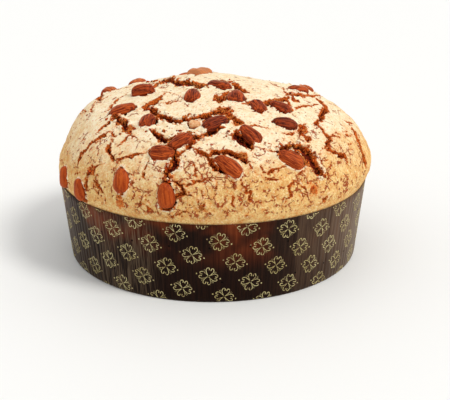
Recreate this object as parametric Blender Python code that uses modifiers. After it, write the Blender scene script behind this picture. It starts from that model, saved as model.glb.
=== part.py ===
"""A low panettone with a baked almond icing, standing in its paper case.

The loaf fills the paper case and rises out of it as a wide dome.  A crust of
baked icing covers the dome.  It has split into plates as the dough rose, and
the loaf shows at the bottom of the widest splits.  Whole almonds lie half sunk
in the icing.

Units are metres and +Z is up.  The origin is the middle of the case's
underside.  Angles are degrees: an azimuth is counted from +X, and a fall is
the angle from the top of the dome (0) down to the rim of the case (90).
"""

import math
import random

import bmesh
import bpy
from mathutils import Matrix, Vector, noise

# Paper case
CASE_HEIGHT = 0.056
RIM_RADIUS = 0.109
BASE_RADIUS = 0.103
PAPER = 0.0007
CASE_SIDES = 96

# Loaf and icing
DOME_HEIGHT = 0.064
DOME_POWER = 0.76
ICING = 0.0045
SKIRT = 0.004
BASE_EDGE = 0.003
OUTER_SHARE = 0.6
GAP = 0.0003

# Splits in the icing
THROUGH = 0.0063
GROOVE = 0.0020
SPLIT_STEP = 0.0070
LIFT = 0.0025

# Almonds
ALMOND_LENGTH = 0.0190
ALMOND_WIDTH = 0.0112
ALMOND_THICKNESS = 0.0074
ALMOND_SUNK = 0.0036
ALMOND_RAISED = 0.00006  # for each degree of lean

# The dome isn't quite round.  Each swell is (azimuth, height share, size in
# metres, half width in degrees, half width in height share).
SWELLS = (
    (180, 0.40, -0.0030, 40, 0.20),
    (172, 0.80, 0.0084, 40, 0.15),
    (0, 0.20, 0.0026, 42, 0.17),
    (262, 0.50, 0.0010, 40, 0.25),
    (75, 0.55, 0.0015, 45, 0.25),
)

# Each hump of the crown is (x, y, height, radius), all in metres.
HUMPS = (
    (0.000, 0.040, 0.0012, 0.024),
    (-0.050, 0.030, -0.0026, 0.026),
    (0.045, -0.020, 0.0010, 0.025),
    (-0.030, -0.045, -0.0010, 0.020),
    (0.030, 0.045, -0.0022, 0.035),
)

# A split is (width in millimetres, goes through, its way as azimuth and fall).
CROWN_SPLITS = (
    (8.0, True, ((140, 33), (134, 27), (160, 16), (188, 10), (237, 8),
                 (291, 6), (35, 9))),
    (4.2, False, ((1, 8), (319, 12), (321, 17))),
    (4.2, False, ((275, 16), (277, 21), (296, 13))),
    (3.4, False, ((211, 20), (220, 26), (224, 33))),
    (5.2, True, ((226, 31), (236, 34), (249, 37), (257, 36), (264, 35),
                 (271, 30), (282, 28))),
    (3.4, False, ((281, 32), (284, 36), (288, 40), (299, 44))),
    (3.2, False, ((295, 25), (304, 29), (320, 28), (330, 30), (342, 30),
                  (346, 31), (355, 35), (6, 40), (23, 50))),
)
FLANK_SPLITS = (
    (4.4, True, ((211, 44), (218, 45), (226, 47), (231, 50))),
    (4.8, True, ((240, 45), (245, 47), (250, 50), (256, 46), (262, 47),
                 (266, 45), (269, 44), (272, 42), (276, 41))),
    (4.8, True, ((282, 43), (281, 47), (284, 51), (287, 54))),
    (4.6, True, ((256, 58), (257, 63), (254, 67), (256, 72))),
    (5.0, True, ((296, 58), (302, 56), (307, 58), (309, 64), (309, 70),
                 (311, 75))),
    (3.4, False, ((271, 56), (274, 55), (278, 57), (281, 58), (284, 65))),
    (2.8, False, ((263, 54), (269, 58), (273, 67))),
    (2.8, False, ((227, 69), (224, 74), (221, 80), (222, 86))),
    (3.2, False, ((4, 42), (356, 44), (347, 46), (331, 48))),
    (2.2, False, ((331, 48), (325, 54), (321, 60), (322, 66), (327, 72))),
    (3.0, False, ((349, 63), (344, 68), (341, 74), (339, 82))),
    (2.8, False, ((320, 47), (313, 49), (315, 54), (311, 57))),
    (2.2, False, ((219, 52), (215, 60), (211, 75))),
    (2.2, False, ((213, 46), (211, 55), (206, 64))),
)

# A bare patch, where icing has crumbled off, is (azimuth, fall, radius).
BARE_PATCHES = (
    (278, 29, 0.0055),
    (307, 65, 0.0048),
    (223, 75, 0.0040),
    (172, 13, 0.0050),
    (228, 47, 0.0036),
)

# The side away from the viewer is split like the side towards the viewer: its
# splits and almonds are those of the front turned this far round.
BACK_TURN = 176
BACK_SPLITS = (0, 1, 2, 4, 5, 8, 9, 10)

# An almond is (azimuth, fall, turn, length share, lean).  Its long axis is turned
# from the way round the dome towards the way up, and its tip points that way.
# The lean, in degrees, tips it up towards the front.
ALMONDS = (
    (158, 44, 60, 0.75, 0),
    (137, 44, 20, 0.80, 0),
    (197, 26, 65, 0.86, 38),
    (246, 18, 108, 0.80, 8),
    (211, 38, 62, 0.94, 4),
    (234, 40, 112, 0.74, 0),
    (272, 38, 30, 0.95, 0),
    (257, 50, 222, 0.86, 0),
    (251, 57, -2, 0.86, 0),
    (238, 75, 105, 0.84, 0),
    (109, 18, 130, 0.84, 10),
    (99, 27, 110, 0.85, 8),
    (290, 7, -50, 0.96, 6),
    (296, 19, 62, 0.88, 4),
    (304, 29, 75, 0.76, 0),
    (319, 33, 108, 0.80, 0),
    (5, 33, 111, 0.86, 4),
    (309, 43, 142, 0.90, 0),
    (288, 46, 117, 0.94, 0),
    (276, 63, 139, 1.04, 0),
    (300, 63, 137, 0.96, 0),
    (261, 39, 5, 0.40, 0),
    (255, 79, 100, 0.86, 0),
    (218, 86, 115, 0.80, 0),
    (205, 85, 119, 0.78, 0),
    (29, 45, -40, 0.70, 0),
)
BACK_ALMONDS = (8, 9, 18, 19, 20, 22, 23, 24)

PANETTONE = "panettone"


def direction(azimuth, fall):
    """Unit vector from the middle of the rim towards a place on the dome."""
    turn = math.radians(azimuth)
    lean = math.radians(fall)
    level = math.sin(lean)
    return Vector((level * math.cos(turn), level * math.sin(turn), math.cos(lean)))


def wall_radius(height):
    """Inner radius of the paper wall at a height above the table."""
    share = height / CASE_HEIGHT
    return BASE_RADIUS + (RIM_RADIUS - BASE_RADIUS) * share - PAPER


def bell(distance, width):
    """Smooth hump of height 1 that fades out over a width."""
    return math.exp(-(distance / width) ** 2)


def dome_point(ray):
    """Point of the icing's outer surface in the direction of a unit vector."""
    around = Vector((ray.x, ray.y, 0.0)).normalized()
    share = max(0.0, ray.z) ** DOME_POWER
    azimuth = math.degrees(math.atan2(ray.y, ray.x))
    bulge = 0.0012 + 0.0072 * share * (1.0 - share)
    for place, level, size, spread, band in SWELLS:
        apart = (azimuth - place + 180.0) % 360.0 - 180.0
        bulge += size * bell(apart, spread) * bell(share - level, band)
    radius = wall_radius(CASE_HEIGHT) - GAP + bulge * (1.0 - bell(share, 0.05))
    point = around * radius * math.sqrt(1.0 - ray.z ** 2)
    lift = 0.0
    for x, y, size, spread in HUMPS:
        lift += size * bell(math.hypot(point.x - x, point.y - y), spread)
    lift += 0.0008 * noise.noise(ray * 5.5) + 0.0005 * noise.noise(ray * 13.0)
    point.z = CASE_HEIGHT + DOME_HEIGHT * share + lift * share
    return point


def surface_normal(ray):
    """Outward normal of the dome in the direction of a unit vector."""
    if ray.z < 1e-4:
        return Vector((ray.x, ray.y, 0.0)).normalized()
    side = ray.orthogonal().normalized() * 0.004
    other = ray.cross(side)
    across = dome_point((ray + side).normalized()) - dome_point((ray - side).normalized())
    along = dome_point((ray + other).normalized()) - dome_point((ray - other).normalized())
    return across.cross(along).normalized()


def surface(ray, depth):
    """Point at a depth under the dome's outer surface."""
    return dome_point(ray) - surface_normal(ray) * depth


def material(name, colour, roughness):
    """Principled material of one plain colour."""
    made = bpy.data.materials.new(name)
    made.use_nodes = True
    shader = made.node_tree.nodes["Principled BSDF"]
    shader.inputs["Base Color"].default_value = (*colour, 1.0)
    shader.inputs["Roughness"].default_value = roughness
    made.diffuse_color = (*colour, 1.0)
    return made


def add_object(name, bm, collection, look=None):
    """Turn a bmesh into an object of a collection."""
    mesh = bpy.data.meshes.new(name)
    bm.to_mesh(mesh)
    bm.free()
    made = bpy.data.objects.new(name, mesh)
    if look:
        mesh.materials.append(look)
    collection.objects.link(made)
    return made


def add_cutter(name, bm, collection):
    """Add a closed mesh that only cuts other pieces."""
    cutter = add_object(name, bm, collection)
    cutter.hide_render = True
    cutter.display_type = "WIRE"
    return cutter


def dome_cap(subdivisions, depth):
    """Open dome at a depth under the icing's surface, down to the rim's level."""
    bm = bmesh.new()
    bmesh.ops.create_icosphere(bm, subdivisions=subdivisions, radius=1.0)
    spacing = 1.2 / 2 ** subdivisions
    for vert in bm.verts:
        if abs(vert.co.z) < 0.5 * spacing:
            vert.co.z = 0.0
    everything = bm.verts[:] + bm.edges[:] + bm.faces[:]
    bmesh.ops.bisect_plane(bm, geom=everything, dist=1e-5, clear_inner=True,
                           plane_co=(0.0, 0.0, 0.0), plane_no=(0.0, 0.0, 1.0))
    for vert in bm.verts:
        vert.co = surface(vert.co.normalized(), depth)
    return bm


def close_dome(bm, rings):
    """Carry the dome's open edge through rings of radius and height; cap it."""
    for radius, height in rings:
        border = [edge for edge in bm.edges if edge.is_boundary]
        grown = bmesh.ops.extrude_edge_only(bm, edges=border)["geom"]
        for item in grown:
            if isinstance(item, bmesh.types.BMVert):
                around = Vector((item.co.x, item.co.y, 0.0)).normalized()
                item.co = around * radius + Vector((0.0, 0.0, height))
    border = [edge for edge in bm.edges if edge.is_boundary]
    bmesh.ops.edgeloop_fill(bm, edges=border)
    bmesh.ops.recalc_face_normals(bm, faces=bm.faces)


def almond_body(length, width, thickness, sides, rings, bend):
    """Almond along X: round at -X, a little narrower at +X, slightly bent."""
    bm = bmesh.new()
    turn = Matrix.Rotation(math.radians(90.0), 4, "Y")
    bmesh.ops.create_uvsphere(bm, u_segments=sides, v_segments=rings, radius=1.0,
                              matrix=turn)
    for vert in bm.verts:
        x, y, z = vert.co
        taper = 1.0 - 0.15 * x - 0.06 * x * x
        vert.co.x = x * length / 2.0
        vert.co.y = y * taper * width / 2.0 + bend * (1.0 - x * x)
        vert.co.z = z * (taper * 0.5 + 0.5) * thickness / 2.0
    return bm


def almond_matrix(azimuth, fall, turn, lean):
    """Place of an almond: sunk in the icing, flat side along the dome or leaning."""
    ray = direction(azimuth, fall)
    normal = surface_normal(ray)
    up = Matrix.Rotation(math.radians(lean), 3, "X") @ normal
    around = Vector((-math.sin(math.radians(azimuth)), math.cos(math.radians(azimuth)), 0.0))
    climb = up.cross(around).normalized()
    around = climb.cross(up)
    angle = math.radians(turn)
    long_axis = around * math.cos(angle) + climb * math.sin(angle)
    side_axis = up.cross(long_axis)
    depth = ALMOND_SUNK - ALMOND_RAISED * lean
    place = dome_point(ray) + normal * (ALMOND_THICKNESS / 2.0 - depth)
    columns = Matrix((long_axis, side_axis, up)).transposed()
    return Matrix.Translation(place) @ columns.to_4x4()


def split_way(way, rng):
    """Unit vectors every few millimetres along a split, straying sideways."""
    corners = [direction(azimuth, fall) for azimuth, fall in way]
    rays = []
    for start, end in zip(corners, corners[1:]):
        length = (dome_point(end) - dome_point(start)).length
        steps = max(1, round(length / SPLIT_STEP))
        for step in range(steps):
            rays.append(start.lerp(end, step / steps).normalized())
    rays.append(corners[-1])
    strayed = []
    for ray in rays:
        stray = Vector((rng.uniform(-1, 1), rng.uniform(-1, 1), rng.uniform(-1, 1)))
        strayed.append((ray + stray * 0.008).normalized())
    return strayed


def split_cutter(name, width, through, way, rng, collection):
    """Wedge that follows a split: widest at the surface, thin at its ends."""
    rays = split_way(way, rng)
    depth = THROUGH if through else min(GROOVE, 0.0008 + width * 0.5)
    bm = bmesh.new()
    sections = []
    last = len(rays) - 1
    for index, ray in enumerate(rays):
        ahead = dome_point(rays[min(index + 1, last)])
        behind = dome_point(rays[max(index - 1, 0)])
        up = surface_normal(ray)
        side = up.cross(ahead - behind).normalized()
        ending = min(1.0, 0.35 + 0.5 * min(index, last - index))
        half = 0.5 * width * ending * rng.uniform(0.75, 1.3)
        foot = half * 0.45
        middle = dome_point(ray)
        top = middle + up * LIFT
        bottom = middle - up * depth * min(1.0, 0.5 + 0.3 * min(index, last - index))
        wide = half * 1.35
        corners = [top + side * wide, top - side * wide]
        if through:
            corners += [bottom - side * foot, bottom + side * foot]
        else:
            corners.append(bottom)
        sections.append([bm.verts.new(corner) for corner in corners])
    for first, second in zip(sections, sections[1:]):
        for k in range(len(first)):
            following = (k + 1) % len(first)
            bm.faces.new((first[k], first[following], second[following], second[k]))
    bm.faces.new(reversed(sections[0]))
    bm.faces.new(sections[-1])
    bmesh.ops.recalc_face_normals(bm, faces=bm.faces)
    return add_cutter(name, bm, collection)


def patch_cutter(name, azimuth, fall, radius, rng, collection):
    """Ragged dish where a bare patch has lost its icing."""
    ray = direction(azimuth, fall)
    up = surface_normal(ray)
    bm = bmesh.new()
    depth = ICING * 0.8
    bmesh.ops.create_cone(bm, cap_ends=True, segments=9, radius1=radius * 0.55,
                          radius2=radius * 1.3, depth=depth + LIFT)
    for vert in bm.verts:
        vert.co.x *= rng.uniform(0.75, 1.2)
        vert.co.y *= rng.uniform(0.75, 1.2)
    turn = up.to_track_quat("Z", "Y").to_matrix().to_4x4()
    middle = dome_point(ray) + up * (LIFT - depth) / 2.0
    bmesh.ops.transform(bm, matrix=Matrix.Translation(middle) @ turn, verts=bm.verts)
    return add_cutter(name, bm, collection)


def cut(target, collections):
    """Cut the objects of some collections out of a piece; drop loose scraps."""
    tools = bpy.data.collections.new(target.name + "_tools")
    for collection in collections:
        tools.children.link(collection)
    boolean = target.modifiers.new("cuts", "BOOLEAN")
    boolean.operation = "DIFFERENCE"
    boolean.operand_type = "COLLECTION"
    boolean.collection = tools
    boolean.solver = "EXACT"
    depsgraph = bpy.context.evaluated_depsgraph_get()
    bm = bmesh.new()
    bm.from_object(target, depsgraph)
    target.modifiers.clear()
    between = [vert for vert in bm.verts if len(vert.link_edges) == 2]
    bmesh.ops.dissolve_verts(bm, verts=between)
    drop_scraps(bm)
    bm.to_mesh(target.data)
    bm.free()
    bpy.data.collections.remove(tools)


def drop_scraps(bm):
    """Keep only the largest connected body of a cut piece."""
    left = set(bm.verts)
    bodies = []
    while left:
        seed = left.pop()
        body = {seed}
        border = [seed]
        while border:
            vert = border.pop()
            for edge in vert.link_edges:
                other = edge.other_vert(vert)
                if other in left:
                    left.remove(other)
                    body.add(other)
                    border.append(other)
        bodies.append(body)
    bodies.sort(key=len)
    for body in bodies[:-1]:
        bmesh.ops.delete(bm, geom=list(body), context="VERTS")


def build_case(parts):
    """Paper case: a truncated cone open at the top, with a flat bottom."""
    bm = bmesh.new()
    bmesh.ops.create_cone(bm, cap_ends=True, segments=CASE_SIDES, radius1=BASE_RADIUS,
                          radius2=RIM_RADIUS, depth=CASE_HEIGHT,
                          matrix=Matrix.Translation((0.0, 0.0, CASE_HEIGHT / 2.0)))
    lid = [face for face in bm.faces if face.normal.z > 0.9]
    bmesh.ops.delete(bm, geom=lid, context="FACES_ONLY")
    look = material("brown_paper", (0.045, 0.022, 0.017), 0.55)
    case = add_object("paper_case", bm, parts, look)
    wall = case.modifiers.new("paper thickness", "SOLIDIFY")
    wall.thickness = PAPER
    wall.offset = -1.0
    wall.use_even_offset = True


def build_splits(cutters):
    """Cutters for all splits and bare patches, front and back."""
    rng = random.Random(11)
    rows = list(CROWN_SPLITS) + list(FLANK_SPLITS)
    for index in BACK_SPLITS:
        width, through, way = FLANK_SPLITS[index]
        turned = tuple((azimuth + BACK_TURN, fall) for azimuth, fall in way)
        rows.append((width, through, turned))
    for number, (width, through, way) in enumerate(rows):
        split_cutter(f"split_{number:02d}", width / 1000.0, through, way, rng, cutters)
    for number, (azimuth, fall, radius) in enumerate(BARE_PATCHES):
        patch_cutter(f"patch_{number:02d}", azimuth, fall, radius, rng, cutters)


def build_almonds(parts, cutters):
    """Whole almonds, and the slightly larger bodies that cut their beds."""
    rng = random.Random(5)
    skins = (material("almond_skin", (0.30, 0.085, 0.030), 0.5),
             material("blanched_almond", (0.70, 0.42, 0.22), 0.5))
    rows = list(ALMONDS)
    for index in BACK_ALMONDS:
        azimuth, fall, turn, share, lean = ALMONDS[index]
        rows.append((azimuth + BACK_TURN, fall, turn + 35, share, lean))
    for number, (azimuth, fall, turn, share, lean) in enumerate(rows):
        nub = share < 0.5
        length = ALMOND_LENGTH * share
        width = ALMOND_WIDTH * (0.55 if nub else rng.uniform(0.94, 1.08))
        thickness = ALMOND_THICKNESS * (0.8 if nub else rng.uniform(0.92, 1.08))
        bend = rng.uniform(-0.0005, 0.0005)
        place = almond_matrix(azimuth, fall, turn, lean)
        body = almond_body(length, width, thickness, 8, 5, bend)
        almond = add_object(f"almond_{number + 1:02d}", body, parts, skins[nub])
        almond.matrix_world = place
        bed = almond_body(length + 2.6 * GAP, width + 2.6 * GAP, thickness + 2.6 * GAP,
                          8, 5, bend)
        cutter = add_cutter(f"bed_{number + 1:02d}", bed, cutters)
        cutter.matrix_world = place


def build_icing(parts, cores, splits, beds):
    """Icing: the dome less the loaf under it, the splits and the almond beds."""
    hem = CASE_HEIGHT - SKIRT
    outer = dome_cap(5, 0.0)
    close_dome(outer, ((wall_radius(hem) - GAP, hem),))
    look = material("baked_icing", (0.82, 0.62, 0.38), 0.75)
    icing = add_object("icing", outer, parts, look)
    inner = dome_cap(4, ICING)
    close_dome(inner, ((wall_radius(hem) - GAP - ICING, hem - SKIRT),))
    add_cutter("core", inner, cores)
    crown = icing.vertex_groups.new(name="crown")
    above = [vert.index for vert in icing.data.vertices
             if vert.co.z > CASE_HEIGHT + 0.001]
    crown.add(above, 1.0, "REPLACE")
    fewer = icing.modifiers.new("fewer faces", "DECIMATE")
    fewer.ratio = OUTER_SHARE
    fewer.vertex_group = crown.name
    cut(icing, (cores, splits, beds))


def build_loaf(parts, splits):
    """Loaf: fills the case and the dome, with trenches under the splits."""
    bm = dome_cap(4, ICING + GAP)
    shoulder = CASE_HEIGHT - SKIRT - GAP
    foot = PAPER + GAP
    rings = ((wall_radius(shoulder) - ICING - 2.0 * GAP, shoulder),
             (wall_radius(shoulder) - GAP, shoulder),
             (wall_radius(foot + BASE_EDGE) - GAP, foot + BASE_EDGE),
             (wall_radius(foot) - GAP - BASE_EDGE, foot))
    close_dome(bm, rings)
    look = material("baked_crumb", (0.42, 0.17, 0.05), 0.85)
    loaf = add_object("loaf", bm, parts, look)
    cut(loaf, (splits,))


def main():
    for item in list(bpy.data.objects):
        bpy.data.objects.remove(item, do_unlink=True)
    collections = {}
    for name in (PANETTONE, "cores", "splits", "beds"):
        collections[name] = bpy.data.collections.new(name)
        bpy.context.scene.collection.children.link(collections[name])
    parts = collections[PANETTONE]
    build_case(parts)
    build_splits(collections["splits"])
    build_almonds(parts, collections["beds"])
    bpy.context.view_layer.update()
    build_icing(parts, collections["cores"], collections["splits"], collections["beds"])
    build_loaf(parts, collections["splits"])


main()
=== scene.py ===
import math
import random

import bmesh
import bpy
import numpy as np
from mathutils import Matrix, Vector, noise


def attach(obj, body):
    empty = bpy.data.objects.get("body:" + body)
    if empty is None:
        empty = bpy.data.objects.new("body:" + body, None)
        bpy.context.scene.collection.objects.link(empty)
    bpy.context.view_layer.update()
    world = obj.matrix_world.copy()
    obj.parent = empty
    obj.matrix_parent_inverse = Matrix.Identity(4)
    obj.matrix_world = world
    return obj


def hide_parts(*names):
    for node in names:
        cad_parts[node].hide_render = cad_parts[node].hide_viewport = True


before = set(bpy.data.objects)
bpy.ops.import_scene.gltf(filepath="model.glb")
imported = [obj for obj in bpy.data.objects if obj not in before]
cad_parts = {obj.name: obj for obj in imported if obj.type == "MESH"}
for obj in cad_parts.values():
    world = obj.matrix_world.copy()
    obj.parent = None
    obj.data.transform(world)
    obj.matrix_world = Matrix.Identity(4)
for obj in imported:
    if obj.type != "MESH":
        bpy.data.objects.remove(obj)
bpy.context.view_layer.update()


# The table and the studio. The cake stands on a seamless white table: one large soft window of
# light from the right and a little behind, white walls at both sides, and a darker wall in front.
def add_node(tree, kind, inputs=None, **settings):
    """A node of a tree; inputs gives a value or another node's output for each named socket."""
    node = tree.nodes.new(kind)
    for name, value in settings.items():
        setattr(node, name, value)
    for key, value in (inputs or {}).items():
        if isinstance(value, bpy.types.NodeSocket):
            tree.links.new(value, node.inputs[key])
        else:
            node.inputs[key].default_value = value
    return node


def feed(kind, inputs, output=0, **settings):
    """An output of a new node that other nodes feed, in the tree that they are in."""
    sources = [value for value in inputs.values() if isinstance(value, bpy.types.NodeSocket)]
    return add_node(sources[0].id_data, kind, inputs, **settings).outputs[output]


def maths(operation, *values):
    """One step of arithmetic on numbers."""
    return feed("ShaderNodeMath", dict(enumerate(values)), operation=operation)


def times(first, *others):
    """The product of numbers."""
    for other in others:
        first = maths("MULTIPLY", first, other)
    return first


def xyz(place):
    """The three numbers of a place or a direction."""
    return add_node(place.id_data, "ShaderNodeSeparateXYZ", {0: place}).outputs


def fade(value, start, end, low=0.0, high=1.0):
    """A number that goes smoothly from low to high while value goes from start to end."""
    inputs = {0: value, 1: start, 2: end, 3: low, 4: high}
    return feed("ShaderNodeMapRange", inputs, interpolation_type="SMOOTHSTEP")


def tint(share, first, second):
    """A colour between two colours."""
    return feed("ShaderNodeMix", {0: share, 6: first, 7: second}, 2, data_type="RGBA")


def paint(red, green, blue):
    """A colour as a painter's chart gives it, 0 to 255, made linear."""
    parts = [value / 255.0 for value in (red, green, blue)]
    linear = [part / 12.92 if part <= 0.04045 else ((part + 0.055) / 1.055) ** 2.4
              for part in parts]
    return (*linear, 1.0)


def new_object(name, shown):
    """An object at the origin that shows a mesh, a lamp or a camera."""
    made = bpy.data.objects.new(name, shown)
    bpy.context.scene.collection.objects.link(made)
    return made


def new_finish(name):
    """A material with its Principled shader, ready for more nodes."""
    made = bpy.data.materials.new(name)
    made.use_nodes = True
    return made, made.node_tree, made.node_tree.nodes["Principled BSDF"]


bpy.context.scene.view_settings.view_transform = "Standard"

TABLE_REACH = 3.0
TABLE_DROP = 0.0002
WALL_LIGHT = 0.82
FRONT_GREY = 0.42
table_mesh = bpy.data.meshes.new("table")
corners = [(x * TABLE_REACH, y * TABLE_REACH, -TABLE_DROP)
           for x, y in ((-1, -1), (1, -1), (1, 1), (-1, 1))]
table_mesh.from_pydata(corners, [], [(0, 1, 2, 3)])
table = new_object("table", table_mesh)
white_table, tree, shader = new_finish("white table")
shader.inputs["Base Color"].default_value = paint(240, 240, 238)
shader.inputs["Roughness"].default_value = 0.6
shader.inputs["Specular IOR Level"].default_value = 0.2
table_mesh.materials.append(white_table)

studio = bpy.data.worlds.new("white studio")
studio.use_nodes = True
bpy.context.scene.world = studio
tree = studio.node_tree
_, back, up = xyz(add_node(tree, "ShaderNodeTexCoord").outputs["Generated"])
low_front = times(fade(back, -0.35, -0.80), fade(up, 0.75, 0.35))
walls = tint(low_front, (1.0, 1.0, 1.0, 1.0), (FRONT_GREY, FRONT_GREY, FRONT_GREY, 1.0))
background = tree.nodes["Background"]
tree.links.new(walls, background.inputs["Color"])
background.inputs["Strength"].default_value = WALL_LIGHT

# The window is a far soft light: where it stands round the table, how high, and how wide it looks.
WINDOW_TURN = math.radians(-32.0)
WINDOW_CLIMB = math.radians(50.0)
WINDOW_WIDTH = math.radians(18.0)
window = bpy.data.lights.new("window", "SUN")
window.angle = WINDOW_WIDTH
window.energy = 1.6
window.color = (1.0, 0.99, 0.97)
aim = Vector((-math.cos(WINDOW_TURN) * math.cos(WINDOW_CLIMB),
              -math.sin(WINDOW_TURN) * math.cos(WINDOW_CLIMB), -math.sin(WINDOW_CLIMB)))
new_object("window", window).rotation_euler = aim.to_track_quat("-Z", "Y").to_euler()

CAMERA_AWAY = 0.75
CAMERA_DOWN = math.radians(20.32)
AIM_X = 0.0085
AIM_HEIGHT = 0.0323
FOCAL_PIXELS = 1030.7
PICTURE_WIDTH = 450
lens = bpy.data.cameras.new("camera")
lens.sensor_width = 36.0
lens.lens = FOCAL_PIXELS / PICTURE_WIDTH * lens.sensor_width
lens.clip_start = 0.05
lens.clip_end = 20.0
camera = new_object("camera", lens)
camera.location = (AIM_X, -CAMERA_AWAY * math.cos(CAMERA_DOWN),
                   AIM_HEIGHT + CAMERA_AWAY * math.sin(CAMERA_DOWN))
camera.rotation_euler = (math.pi / 2 - CAMERA_DOWN, 0.0, 0.0)
bpy.context.scene.camera = camera


# The baking case. A strip of brown greaseproof paper, finely fluted so that it stands by itself,
# is glued round a paper disc. The dough bakes in it, and butter darkens it from inside.
CASE_HEIGHT = 0.056
RIM_RADIUS = 0.109
BASE_RADIUS = 0.103
MIDDLE_RADIUS = (BASE_RADIUS + RIM_RADIUS) / 2
PAPER = 0.0007
FOOT_FOLD = 0.0005
RIM_EDGE = 0.0001
WALL_RINGS = 14
FLUTES = 166
FLUTE_DEPTH = 0.00024
SIDES = FLUTES * 8
SEAM_TURN = math.radians(-59.5)
# Two rows of small vent holes: how high each is, and the turn of its first hole.
VENT_ROWS = ((0.0397, 338.6), (0.0149, 329.0))
VENTS = 26
VENT_RADIUS = 0.0006


def lathe(profile, sides):
    """A closed turned mesh: profile gives radius and height, from the axis and back to it."""
    mesh = bmesh.new()
    loops = []
    for radius, height in profile:
        if radius == 0.0:
            loops.append([mesh.verts.new((0.0, 0.0, height))])
            continue
        turns = [2.0 * math.pi * side / sides for side in range(sides)]
        loops.append([mesh.verts.new((radius * math.cos(turn), radius * math.sin(turn), height))
                      for turn in turns])
    for first, second in zip(loops, loops[1:]):
        for side in range(sides):
            after = (side + 1) % sides
            if len(first) == 1:
                mesh.faces.new((first[0], second[after], second[side]))
            elif len(second) == 1:
                mesh.faces.new((first[side], first[after], second[0]))
            else:
                mesh.faces.new((first[side], first[after], second[after], second[side]))
    return mesh


def as_mesh(name, shape, smooth=True):
    """The finished mesh of a shape."""
    mesh = bpy.data.meshes.new(name)
    shape.to_mesh(mesh)
    shape.free()
    if smooth:
        mesh.shade_smooth()
    return mesh


outer_wall = [(BASE_RADIUS + (RIM_RADIUS - BASE_RADIUS) * ring / WALL_RINGS, CASE_HEIGHT * ring / WALL_RINGS)
              for ring in range(1, WALL_RINGS)]
profile = [(0.0, 0.0), (BASE_RADIUS * 0.9, 0.0), (BASE_RADIUS - FOOT_FOLD, 0.0), (BASE_RADIUS, PAPER),
           *outer_wall, (RIM_RADIUS, CASE_HEIGHT - RIM_EDGE), (RIM_RADIUS - PAPER * 0.25, CASE_HEIGHT),
           (RIM_RADIUS - PAPER * 0.8, CASE_HEIGHT), (RIM_RADIUS - PAPER, CASE_HEIGHT - 2 * RIM_EDGE),
           (MIDDLE_RADIUS - PAPER, CASE_HEIGHT / 2), (BASE_RADIUS - PAPER, PAPER), (0.0, PAPER)]
case_mesh = as_mesh("paper case", lathe(profile, SIDES))


def node_group(name, **inputs):
    """An empty Geometry Nodes group with a geometry and the given numbers coming in."""
    group = bpy.data.node_groups.new(name, "GeometryNodeTree")
    group.interface.new_socket("Geometry", in_out="INPUT", socket_type="NodeSocketGeometry")
    group.interface.new_socket("Geometry", in_out="OUTPUT", socket_type="NodeSocketGeometry")
    kinds = {int: "Int", float: "Float", tuple: "Vector", str: "Material"}
    for title, value in inputs.items():
        socket = group.interface.new_socket(title.replace("_", " "), in_out="INPUT",
                                            socket_type="NodeSocket" + kinds[type(value)])
        if not isinstance(value, str):
            socket.default_value = value
    return group, group.nodes.new("NodeGroupInput").outputs, group.nodes.new("NodeGroupOutput").inputs


def end_group(geometry, material, out):
    """Ends a group in whole geometry with its material."""
    joined = feed("GeometryNodeRealizeInstances", {0: geometry})
    dressed = feed("GeometryNodeSetMaterial", {"Geometry": joined, "Material": material})
    geometry.id_data.links.new(dressed, out["Geometry"])


def run_group(made, group, **inputs):
    """Puts a group on an object and keeps its result as a plain mesh; words name kept values."""
    step = made.modifiers.new(group.name, "NODES")
    step.node_group = group
    sockets = {item.name: item.identifier for item in group.interface.items_tree
               if item.in_out == "INPUT"}
    for title, value in inputs.items():
        socket = sockets[title.replace("_", " ")]
        if isinstance(value, str):
            step[socket + "_use_attribute"] = True
            step[socket + "_attribute_name"] = value
        else:
            step[socket] = value
    made.update_tag()
    ready = made.evaluated_get(bpy.context.evaluated_depsgraph_get())
    result = bpy.data.meshes.new_from_object(ready)
    made.modifiers.remove(step)
    made.data = result


def plus(first, second):
    """The sum of two numbers."""
    return maths("ADD", first, second)


def minus(first, second):
    """The difference of two numbers."""
    return maths("SUBTRACT", first, second)


def arrows(operation, *values):
    """One step of arithmetic on places and directions."""
    return feed("ShaderNodeVectorMath", dict(enumerate(values)), operation=operation)


def scaled(arrow, share):
    """A place or direction made longer or shorter."""
    return feed("ShaderNodeVectorMath", {0: arrow, "Scale": share}, operation="SCALE")


def from_xyz(x, y, z=0.0):
    """The place or direction of three numbers."""
    return feed("ShaderNodeCombineXYZ", {0: x, 1: y, 2: z})


def about_axis(place):
    """The level part of a place, its direction, and its turn round the upright axis."""
    x, y, _ = xyz(place)
    level = from_xyz(x, y)
    return level, arrows("NORMALIZE", level), maths("ARCTAN2", y, x)


def cloud(place, size, detail=2.0, rough=0.5, output=0):
    """Soft chance blotches of a size in metres; output 1 gives three numbers at once."""
    inputs = {"Vector": place, "Scale": 1.0 / size, "Detail": detail, "Roughness": rough}
    return feed("ShaderNodeTexNoise", inputs, output)


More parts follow.
